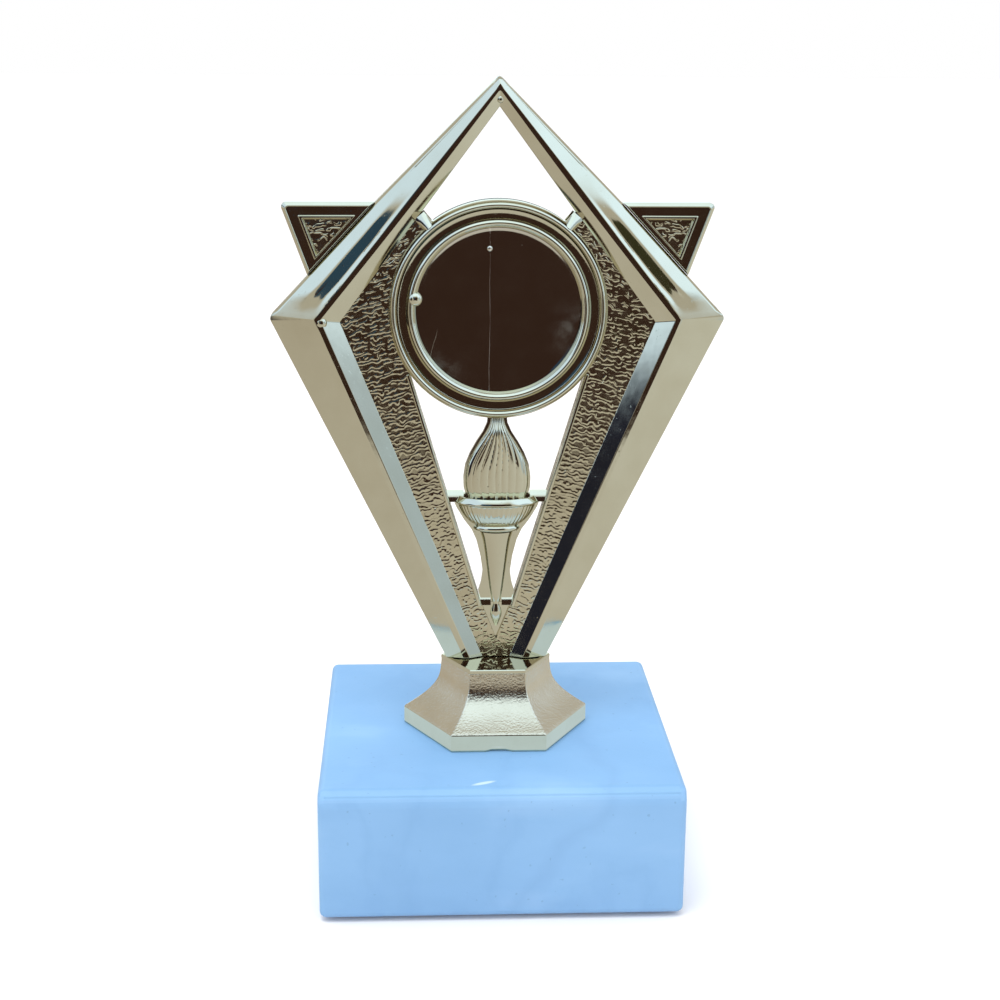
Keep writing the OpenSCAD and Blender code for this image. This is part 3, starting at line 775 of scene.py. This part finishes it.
def emblem_ring():
    """Two beads with a groove between them on each face, four lugs, and a blob left at a gate."""
    shape = Shape()
    h = RING_HALF
    front_side = [(RING_R, 0), (RING_R, 0.9)]
    front_side += bead(OUTER_BEAD_R, 0.72, h, 0.75)
    front_side += [(15.78, h - GROOVE_D), (14.62, h - GROOVE_D)]
    front_side += bead(INNER_BEAD_R, 0.74, h, 0.7)
    front_side += [(RECESS_R, h - RECESS_D + 0.05), (RECESS_R - 0.4, h - RECESS_D), (0.05, h - RECESS_D)]
    back_side = [(r, -d) for r, d in front_side[:0:-1]]
    shape.lathe([(r, -d) for r, d in front_side + back_side], (0, 0, RING_Z), steps=192)
    for angle in (LUG_UP, math.pi - LUG_UP, -LUG_DOWN, math.pi + LUG_DOWN):
        out = np.array([math.cos(angle), math.sin(angle)])
        side = np.array([-out[1], out[0]]) * LUG_HALF_W
        root, end = RING_R - 0.4, RING_R + LUG_PAST_RING
        outline = [(0, RING_Z) + out * reach + sign * side
                   for reach, sign in ((root, 1), (end, 1), (end, -1), (root, -1))]
        shape.prism(outline, -LUG_HALF_D, LUG_HALF_D)
        for face in (-1, 1) if out[1] > 0 else ():  # the upper lugs slope down from the ring
            rows = []
            for t in np.linspace(0, 1, 6):
                along = (0, RING_Z) + out * lerp(root, end - 0.8, t)
                row = []
                for turn in FILLET_TURN:
                    x, z = along + 1.3 * side * math.cos(turn)
                    row.append((x, face * (PANEL_D + (1.35 - 1.25 * t) * math.sin(turn)), z))
                rows.append(row)
            shape.loft(rows)
    shape.dome((-13.1, -RING_HALF + 0.45, RING_Z + 1.9), 1.15, 0.75)
    return shape


def seat_disc(side):
    """A slightly dished mirror disc that covers the recess floor on one face."""
    shape = Shape()
    y = RING_HALF - RECESS_D
    profile = [(SEAT_VISIBLE_R, y - 0.3), (SEAT_VISIBLE_R, y + SEAT_PROUD)]
    profile += [(SEAT_VISIBLE_R - 0.9 * t, y + SEAT_PROUD - 0.12 * math.sin(t * math.pi / 2))
                for t in (0.25, 0.5, 0.75, 1)]
    profile += [(r, y + 0.04) for r in (9, 6, 3, 0.05)]
    profile += [(0.05, y - 0.3)]
    shape.lathe([(r, side * d) for r, d in profile], (0, 0, RING_Z), steps=160)
    if side < 0:  # specks under the plating, on the front only
        shape.dome((-1.4, -y + 0.1, RING_Z + 9.7), 0.5, 0.3)
        shape.dome((3.6, -y + 0.15, RING_Z + 10.3), 0.28, 0.2)
        shape.dome((6.2, -y + 0.15, RING_Z - 1.8), 0.22, 0.18)
    return shape


piece("emblem_ring_moulding", emblem_ring(), [MIRROR], ["emblem_ring"], angle=40)
for side_name, sign in (("front", -1), ("rear", 1)):
    piece(f"{side_name}_mirror_seat", seat_disc(sign), [SEAT],
          [f"{side_name}_seat_plate"], angle=40)


# ---------------- torch
BOWL_Z = BASE_TOP + 39.0
FLAME_R = 5.1
COLLAR_Z = BOWL_Z - 5.6
TIP_Z = RING_Z - RING_R - 0.1
POINT_Z = TORCH_LOW[2]
BOWL_FLAT = 0.58
FLAME_WAVES, FLAME_GROOVE_D, FLAME_HALF_D = 4.4, 0.16, 1.5
FLUTES, FLUTE_D = 44, 0.13


def curve_through(knots, steps):
    """Smooth values through rows of knots, by Catmull-Rom."""
    knots = np.asarray(knots, float)
    padded = np.vstack([2 * knots[0] - knots[1], knots, 2 * knots[-1] - knots[-2]])
    out = []
    for i in range(1, len(padded) - 2):
        p0, p1, p2, p3 = padded[i - 1:i + 3]
        for t in np.arange(steps) / steps:
            out.append(0.5 * (2 * p1 + (p2 - p0) * t + (2 * p0 - 5 * p1 + 4 * p2 - p3) * t ** 2
                              + (3 * p1 - p0 - 3 * p2 + p3) * t ** 3))
    out.append(knots[-1])
    return np.array(out)


def flame(shape):
    """A teardrop whose fine licks run up in shallow grooves and meet at the tip."""
    knots = [(0.90, 0.02), (0.99, 0.14), (1.0, 0.27), (0.94, 0.42), (0.79, 0.56), (0.58, 0.7),
             (0.38, 0.82), (0.25, 0.92), (0.2, 1.0)]
    a = circle(240)
    across, through = np.cos(a), np.abs(np.sin(a))
    level = lambda value: np.full_like(a, value)
    rows = []
    for share, t in curve_through(knots, 9):
        drift = 0.05 * (value_noise(3 + across * 2, level(7 + 3 * t), 41) - 0.5)
        sway = 0.09 * math.sin(4.6 * t + 0.5) + drift
        wave = FLAME_WAVES * math.pi * (across + sway + 0.03 * np.sin(5 * across))
        crest = np.abs(np.sin(wave)) ** 0.4
        strength = 0.4 + 1.0 * value_noise(8 + across * 4.4, level(5 + 2.2 * t), 43)
        groove = FLAME_GROOVE_D * strength * (crest - 1) * through ** 0.6
        swell = (FLAME_HALF_D + 0.35 * t) * (1 - 0.45 * smooth(0.8, 1.0, t))
        depth = np.maximum(swell * through ** 0.5 + groove, 0.35)
        side = np.sign(np.sin(a) + 1e-9)
        rows.append(np.stack([FLAME_R * share * across, depth * side, level(lerp(BOWL_Z, TIP_Z, t))], 1))
    shape.loft(rows)


def bowl_and_stem(shape):
    """Rim, fluted bowl, collar and the tapering stem down to its point."""
    bowl = [(4.6, 0.3), (5.95, 0.48), (6.3, 0.36), (6.85, -0.36), (6.75, -0.62), (6.4, -0.75),
            (6.3, -0.95), (6.1, -1.5), (5.65, -2.4), (5.0, -3.3), (4.3, -4.0), (3.7, -4.4)]
    collar = [(3.3, -4.3), (3.45, -4.42), (3.82, -4.85), (3.7, -5.25), (3.05, -5.5)]
    a = circle(264)
    uneven = 0.7 + 0.5 * value_noise(20 + 7 * np.cos(a), np.full_like(a, 4.5), 45)
    flute = (0.5 - 0.5 * np.cos(FLUTES * a)) * uneven
    for profile, fluted in ((bowl, True), (collar, False)):
        rows = []
        for r, dz in curve_through(profile, 3):
            cut = 0.0
            if fluted and dz < -0.75:
                cut = FLUTE_D * smooth(0.75, 1.0, -dz) * (1 - 0.6 * smooth(2.4, 4.3, -dz)) * flute
            rows.append(level_ring(a, r - cut, (r - cut) * BOWL_FLAT, BOWL_Z + dz))
        shape.loft(rows)
    foot_z = WINDOW_FOOT_Z
    stem = [(2.75, COLLAR_Z - 0.05, 0.62), (2.3, COLLAR_Z - 1.6, 0.66), (1.95, COLLAR_Z - 3.8, 0.7),
            (1.55, COLLAR_Z - 7, 0.74), (1.25, foot_z + 2.4, 0.76), (0.95, foot_z + 0.4, 0.78),
            (0.78, foot_z - 0.6, 0.8), (1.05, foot_z - 1.6, 0.8), (1.1, foot_z - 2.5, 0.8),
            (0.75, foot_z - 4.0, 0.8), (0.22, POINT_Z + 0.15, 0.8)]
    shape.loft([level_ring(circle(40), r, r * flat, z) for r, z, flat in curve_through(stem, 6)])


def flange_outline():
    """Half width of the thin wall round the torch at the parting plane, from the point to the tip."""
    foot_z = WINDOW_FOOT_Z
    beside_stem = [(0.3, POINT_Z), (1.2, foot_z - 2.5), (1.0, foot_z - 0.6), (2.4, foot_z - 0.1),
                   (2.95, foot_z + 1.6), (2.5, foot_z + 3.2), (2.25, foot_z + 5), (2.6, COLLAR_Z - 4.2)]
    beside_bowl = [(3.3, COLLAR_Z - 1.4), (4.1, COLLAR_Z + 0.4), (5.3, COLLAR_Z + 2.0),
                   (6.6, BOWL_Z - 1.4), (7.05, BOWL_Z - 0.2), (5.9, BOWL_Z + 0.3)]
    beside_flame = [(5.1, 0.06), (5.4, 0.14), (5.45, 0.27), (5.15, 0.42), (4.4, 0.56), (3.35, 0.7),
                    (2.3, 0.82), (1.65, 0.93), (1.55, 1)]
    return beside_stem + beside_bowl + [(x, lerp(BOWL_Z, TIP_Z, t)) for x, t in beside_flame]


def torch():
    """Flame, bowl and stem with the thin wall, tabs and web that hold them in the window."""
    shape = Shape()
    flame(shape)
    bowl_and_stem(shape)
    side = flange_outline()
    shape.prism(side + [(-x, z) for x, z in side[::-1]], -0.42, 0.42)
    for z, near, half in ((BOWL_Z + 0.3, 5.4, 0.8), (LOW_TAB_Z + 0.2, 0.9, 0.8)):
        reach = x_at(WINDOW_FOOT, WINDOW_TOP, z) + 0.6
        section = [(0.85, z - half), (-0.95, z - half), (-0.95, z - 0.4 * half), (-0.2, z + half),
                   (0.85, z + half)]
        for s in (-1, 1):
            shape.loft([[(s * x, *p) for p in section] for x in (near, reach)])
    corner = x_at(np.array([0, WINDOW_POINT_Z]), WINDOW_FOOT, LOW_TAB_Z)
    shape.prism([(0, WINDOW_POINT_Z + 0.1), (corner, LOW_TAB_Z), (-corner, LOW_TAB_Z)], -0.5, 0.5)
    return shape


piece("torch_moulding", torch(), [MIRROR], ["torch"], angle=42)


# ---------------- foot and neck plate
FOOT_R = FOOT_HIGH[0]
FOOT_BAND = 3.0
NECK_R = PLATE_HIGH[0]
# Run of the flank for each step of height, from the neck down: upright, then ever flatter.
FLARE_FALL = np.linspace(0, 1, 33)
FLARE_KNOTS = (0, 0.2, 0.32, 0.45, 0.6, 0.8, 1)
FLARE_SLOPES = (0.05, 0.09, 0.2, 0.46, 0.82, 1.2, 1.5)
FLARE_RUN = np.cumsum(np.interp(FLARE_FALL, FLARE_KNOTS, FLARE_SLOPES))
FLARE_RUN = (FLARE_RUN - FLARE_RUN[0]) / (FLARE_RUN[-1] - FLARE_RUN[0])


NOTCH_HALF_W, NOTCH_D = 1.3, 0.6  # a nick in the foot's lower edge, at the front


def hexagon(r, z, per_side=14):
    turns = [math.radians(a) for a in range(0, 360, 60)]
    corners = [(r * math.cos(a), r * math.sin(a)) for a in turns]
    points = []
    for i, a in enumerate(corners):
        b = corners[(i + 1) % 6]
        points += [(lerp(a[0], b[0], t), lerp(a[1], b[1], t), z) for t in np.arange(per_side) / per_side]
    return points


def foot():
    """The flared foot over its upright band."""
    shape = Shape()
    top = FOOT_HIGH[2] - BASE_TOP
    rows = [hexagon(FOOT_R, BASE_TOP + z) for z in (0, 0.4, 1, 2, FOOT_BAND - 0.15)]
    for fall, run in reversed(list(zip(FLARE_FALL, FLARE_RUN))):
        rows.append(hexagon(lerp(NECK_R, FOOT_R - 0.15, run), BASE_TOP + lerp(top, FOOT_BAND, fall)))
    notch = -FOOT_R * math.cos(math.pi / 6) + 0.1
    for row in rows[:2]:
        for i, (x, y, z) in enumerate(row):
            if y < notch and abs(x) < NOTCH_HALF_W:
                row[i] = (x, y + NOTCH_D, z)
    shape.loft(rows)
    band_faces = 4 * len(rows[0])
    shape.slots[:band_faces] = [WALL] * band_faces
    return shape


def neck_plate():
    """The foot's polished top face, slightly sunk inside its edge."""
    shape = Shape()
    low, high = PLATE_LOW[2], PLATE_HIGH[2]
    rows = [hexagon(NECK_R, low, 2), hexagon(NECK_R, high - 0.12, 2), hexagon(NECK_R - 0.12, high, 2),
            hexagon(NECK_R - 0.7, high, 2), hexagon(NECK_R - 0.85, high - 0.12, 2)]
    shape.loft(rows)
    return shape


piece("flared_foot", foot(), [SATIN, SATIN, MIRROR], ["foot"], bevel=0.14, angle=25)
piece("polished_neck_plate", neck_plate(), [MIRROR], ["neck_plate"], angle=25)


# ---------------- marble block
CHAMFER_DROP, CHAMFER_RUN = 1.8, 1.2
HOLE_R, COUNTERBORE_R, COUNTERBORE_D = 3.5, 11.0, 10.0
BLOCK_EDGE, SMALL_EDGE = 1.35, 0.2


def ease_edges(obj, width, segments, angle):
    """Rounds every edge that turns by more than an angle."""
    ease = obj.modifiers.new("eased edges", "BEVEL")
    ease.width = width * MM
    ease.segments = segments
    ease.limit_method = "ANGLE"
    ease.angle_limit = math.radians(angle)
    return ease


def marble_block():
    """The sawn block, with a real hole, counterbore and softly worn edges."""
    shape = Shape()
    x, y = BLOCK_HIGH[0], BLOCK_HIGH[1]
    low, top = BLOCK_LOW[2], BLOCK_HIGH[2]
    section = [(-y, low), (-y, top - CHAMFER_DROP), (-y + CHAMFER_RUN, top), (y, top), (y, low)]
    shape.loft([[(-x, *p) for p in section], [(x, *p) for p in section]])
    # The chamfer face takes the paler marble copy: its sawn face plus a painted highlight.
    shape.slots[1] = 1
    block = piece("marble_block", shape, [MARBLE, MARBLE_SAWN_CHAMFER_HIGHLIGHT], ["marble_base"], angle=25)
    cutter = Shape()
    cutter.lathe([(HOLE_R, top + 1), (HOLE_R, low + COUNTERBORE_D), (COUNTERBORE_R, low + COUNTERBORE_D),
                  (COUNTERBORE_R, low - 1)], (0, 0, 0), axis="z", steps=96)
    mesh = cutter.mesh("bore")
    bm = bmesh.new()
    bm.from_mesh(mesh)
    bmesh.ops.recalc_face_normals(bm, faces=bm.faces)
    bm.to_mesh(mesh)
    bm.free()
    bore = link_object("bore", mesh)
    cut = block.modifiers.new("bore", "BOOLEAN")
    cut.object = bore
    cut.operation = "DIFFERENCE"
    cut.solver = "EXACT"
    ease_edges(block, BLOCK_EDGE, 5, 25).harden_normals = True
    depsgraph = bpy.context.evaluated_depsgraph_get()
    solid = bpy.data.meshes.new_from_object(block.evaluated_get(depsgraph))
    block.modifiers.clear()
    block.data = solid
    bpy.data.objects.remove(bore)


marble_block()


# ---------------- fastening and pads
THREAD_PITCH, THREAD_D = 1.0, 0.55


def threaded_stud():
    """A stud with a rolled thread: the helix is worked out ring by ring."""
    shape = Shape()
    r, columns, per_turn = STUD_HIGH[0], 36, 10
    low, high = STUD_LOW[2], STUD_HIGH[2]
    a, turn = circle(columns), np.arange(columns) / columns
    rows = [level_ring(a, 0.82 * r, 0.82 * r, low)]
    for z in np.arange(low + 0.3, high - 0.3, THREAD_PITCH / per_turn):
        tooth = np.abs(2 * (((z - low) / THREAD_PITCH - turn) % 1.0) - 1)
        fade = min(1.0, (z - low) / 1.2, (high - z) / 1.2)
        radius = r - THREAD_D * fade * (1 - smooth(0.1, 0.9, tooth)) - 0.02
        rows.append(level_ring(a, radius, radius, z))
    shape.loft(rows + [level_ring(a, 0.82 * r, 0.82 * r, high)])
    return shape


PAD_R, PAD_FRAY = 5.0, 0.06


def felt_pads():
    """Four discs with a fibrous, slightly uneven edge."""
    shape = Shape()
    low, high = box_mm("base_pads")
    levels = ((0.96, low[2]), (1.0, low[2] + 0.15), (0.99, high[2] - 0.12), (0.96, high[2]))
    a = circle(72)
    for sx, sy in ((-1, -1), (-1, 1), (1, -1), (1, 1)):
        centre = (sx * (high[0] - PAD_R), sy * (high[1] - PAD_R), 0)
        rows = []
        for share, z in levels:
            wisps = value_noise(0.8 * np.arange(len(a)) + 9 * sx, np.full_like(a, z * 3 + 5.0 * sy), 31)
            reach = (PAD_R - PAD_FRAY) * share + PAD_FRAY * wisps
            rows.append(level_ring(a, reach, reach, z) + centre)
        shape.loft(rows)
    return shape


piece("rolled_stud", threaded_stud(), [ZINC], ["threaded_stud"], angle=60)
piece("felt_discs", felt_pads(), [FELT], ["base_pads"], angle=50)

for node in ("captive_nut", "clamp_nut", "flat_washer", "spring_washer"):
    obj = frame["nodes"][node]
    obj.data.materials.clear()
    obj.data.materials.append(ZINC)
    ease_edges(obj, SMALL_EDGE, 2, 40)


# ---------------- stage: floor, cards, light, camera
def stage_object(name, points, faces, shader):
    mesh = bpy.data.meshes.new(name)
    mesh.from_pydata(points, [], faces)
    material = bpy.data.materials.new(name)
    material.use_nodes = True
    shader(material.node_tree)
    mesh.materials.append(material)
    obj = link_object(name, mesh)
    obj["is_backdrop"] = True
    return obj


def floor_shader(tree):
    bsdf = next(n for n in tree.nodes if n.type == "BSDF_PRINCIPLED")
    bsdf.inputs["Base Color"].default_value = (0.92, 0.92, 0.92, 1)
    bsdf.inputs["Roughness"].default_value = 0.9
    bsdf.inputs["Specular IOR Level"].default_value = 0.1


def glow(nodes, colour):
    """Ends a material in one plain emission of a colour."""
    light = nodes.node("ShaderNodeEmission")
    nodes.feed(light.inputs["Color"], colour)
    nodes.link(light.outputs[0], nodes.node("ShaderNodeOutputMaterial").inputs["Surface"])


def card_shader(colour):
    def build(tree):
        tree.nodes.clear()
        glow(Nodes(tree), colour)
    return build


def ground_shader(tree):
    """The pale ground as the plated faces see it, dimmer on the left than on the right."""
    tree.nodes.clear()
    n = Nodes(tree)
    split = n.node("ShaderNodeSeparateXYZ")
    n.link(n.node("ShaderNodeTexCoord").outputs["Object"], split.inputs["Vector"])
    glow(n, n.mix(n.span(split.outputs["X"], -0.16, 0.2), (0.61, 0.575, 0.53), (0.80, 0.83, 0.84)))


def reflector_card(name, centre, width, height, facing, shader):
    """A card that only shows in reflections."""
    across = unit(np.cross(facing, (0, 0.001, 1)))
    up = unit(np.cross(across, facing))
    corners = [np.array(centre) + sx * across * width / 2 + sz * up * height / 2
               for sx, sz in ((-1, -1), (1, -1), (1, 1), (-1, 1))]
    card = stage_object(name, [tuple(c) for c in corners], [(0, 1, 2, 3)], shader)
    for ray in ("camera", "diffuse", "shadow", "volume_scatter", "transmission"):
        setattr(card, "visible_" + ray, False)


def stage():
    size = 4.0
    stage_object("floor", [(-size, -size, 0), (size, -size, 0), (size, size, 0), (-size, size, 0)],
                 [(0, 1, 2, 3)], floor_shader)
    reflector_card("ground_card", (0, 0, 0.0003), 2 * size, 2 * size, (0, 0, 1), ground_shader)
    # A mint glowing card just over the block's top that only the plated faces see: a painted reflection
    # of the block, standing in for the block's own.
    top = BASE_TOP * MM + 0.0003
    reflector_card("painted_block_reflection_card", (0, 0.001, top), 0.055, 0.053, (0, 0, 1), card_shader((0.74, 0.95, 1.2)))
    for name, x, z, width, height, colour in (
            ("dark_front_card", -0.02, 0.095, 0.168, 0.17, (0.045, 0.024, 0.018)),
            ("teal_front_card", -0.070, 0.136, 0.076, 0.088, (0.035, 0.085, 0.16)),
            ("olive_front_card", 0.087, 0.136, 0.046, 0.088, (0.05, 0.05, 0.025)),
            ("low_front_card", 0.087, 0.051, 0.046, 0.082, (0.045, 0.024, 0.018))):
        y = -0.224 if name == "teal_front_card" else -0.225
        reflector_card(name, (x, y, z), width, height, (0, 1, 0), card_shader(colour))
    reflector_card("mint_right_card", (0.249, -0.168, 0.06), 0.14, 0.12, (-0.829, 0.56, 0),
                   card_shader((0.58, 0.74, 0.96)))
    reflector_card("dark_left_card", (-0.233, -0.189, 0.06), 0.15, 0.12, (0.777, 0.63, 0),
                   card_shader((0.02, 0.022, 0.04)))


# Soft areas that the plated faces reflect: azimuth (0 is the front, 90 the right), elevation, the
# angles where the area starts and ends to fade, and its colour.
LOBES = [(-66, 36, 32, 44, (0.95, 1.25, 1.75)), (74, 33, 32, 44, (1.19, 1.55, 2.1)),
         (0, 58, 18, 34, (1.25, 1.6, 2.0)), (180, 20, 14, 28, (1.15, 1.4, 1.5)),
         (-51, 6, 9, 14, (0.02, 0.022, 0.045)), (56, 3, 12, 18, (0.60, 0.76, 1.0))]


BACKGROUND, HORIZON, ZENITH = (0.62, 0.61, 0.58), (0.90, 0.70, 0.63), (1.30, 1.37, 1.41)


def world():
    """White for the camera, a soft dome for diffuse light, coloured areas for reflections."""
    made = bpy.data.worlds.new("studio")
    bpy.context.scene.world = made
    made.use_nodes = True
    made.node_tree.nodes.clear()
    n = Nodes(made.node_tree)
    direction = n.node("ShaderNodeTexCoord").outputs["Generated"]
    colour = BACKGROUND
    for azimuth, elevation, inner, outer, shade in LOBES:
        a, e = math.radians(azimuth), math.radians(elevation)
        dot = n.node("ShaderNodeVectorMath", operation="DOT_PRODUCT")
        n.link(direction, dot.inputs[0])
        dot.inputs[1].default_value = (math.sin(a) * math.cos(e), -math.cos(a) * math.cos(e), math.sin(e))
        edges = [math.cos(math.radians(edge)) for edge in (outer, inner)]
        colour = n.mix(n.span(dot.outputs["Value"], *edges, curve="SMOOTHSTEP"), colour, shade)
    split = n.node("ShaderNodeSeparateXYZ")
    n.link(direction, split.inputs["Vector"])
    dome = n.mix(split.outputs["Z"], HORIZON, ZENITH)
    path = n.node("ShaderNodeLightPath")

    def shown(ray, under, over):
        either = n.node("ShaderNodeMixShader")
        for socket, value in zip(either.inputs, (path.outputs[ray], under, over)):
            n.link(value, socket)
        return either.outputs[0]

    def background(value):
        node = n.node("ShaderNodeBackground")
        n.feed(node.inputs["Color"], value)
        return node.outputs[0]

    seen = shown("Is Glossy Ray", background(dome), background(colour))
    seen = shown("Is Camera Ray", seen, background((1, 1, 1)))
    n.link(seen, n.node("ShaderNodeOutputWorld").inputs["Surface"])


def soft_light(name, place, aim, size, watts, colour):
    data = bpy.data.lights.new(name, "AREA")
    data.shape = "DISK"
    data.size = size
    data.energy = watts
    data.color = colour
    obj = link_object(name, data)
    obj.location = place
    obj.rotation_mode = "QUATERNION"
    obj.rotation_quaternion = (Vector(aim) - Vector(place)).to_track_quat("-Z", "Y")
    obj.visible_glossy = False


CAMERA_AZIMUTH, CAMERA_ELEVATION, CAMERA_ROLL = -2.895, 15.261, 0.447
CAMERA_PLACE = (-0.013504, -0.277938, 0.136282)
LENS, SENSOR = 63.73, 36


def camera():
    """The photograph's view: a little left of the middle and 15 degrees above."""
    azimuth, elevation, roll = (math.radians(v) for v in (CAMERA_AZIMUTH, CAMERA_ELEVATION, CAMERA_ROLL))
    back = Vector((math.sin(azimuth) * math.cos(elevation), -math.cos(azimuth) * math.cos(elevation),
                   math.sin(elevation)))
    across = (-back).cross(Vector((0, 0, 1))).normalized()
    up = across.cross(-back)
    right = across * math.cos(roll) + up * math.sin(roll)
    top = up * math.cos(roll) - across * math.sin(roll)
    data = bpy.data.cameras.new("camera")
    data.sensor_width = SENSOR
    data.lens = LENS
    data.clip_start = 0.01
    obj = link_object("camera", data)
    obj.matrix_world = Matrix((right, top, back)).transposed().to_4x4()
    obj.location = CAMERA_PLACE
    bpy.context.scene.camera = obj


stage()
world()
soft_light("key", (-0.16, -0.18, 0.85), (0, 0, 0.04), 0.5, 2.6, (1.0, 0.99, 0.98))
camera()
bpy.context.scene.view_settings.view_transform = "Standard"

bpy.context.view_layer.update()
{"cad": CAD_BOX, "visual": [list(corner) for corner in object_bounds()]}
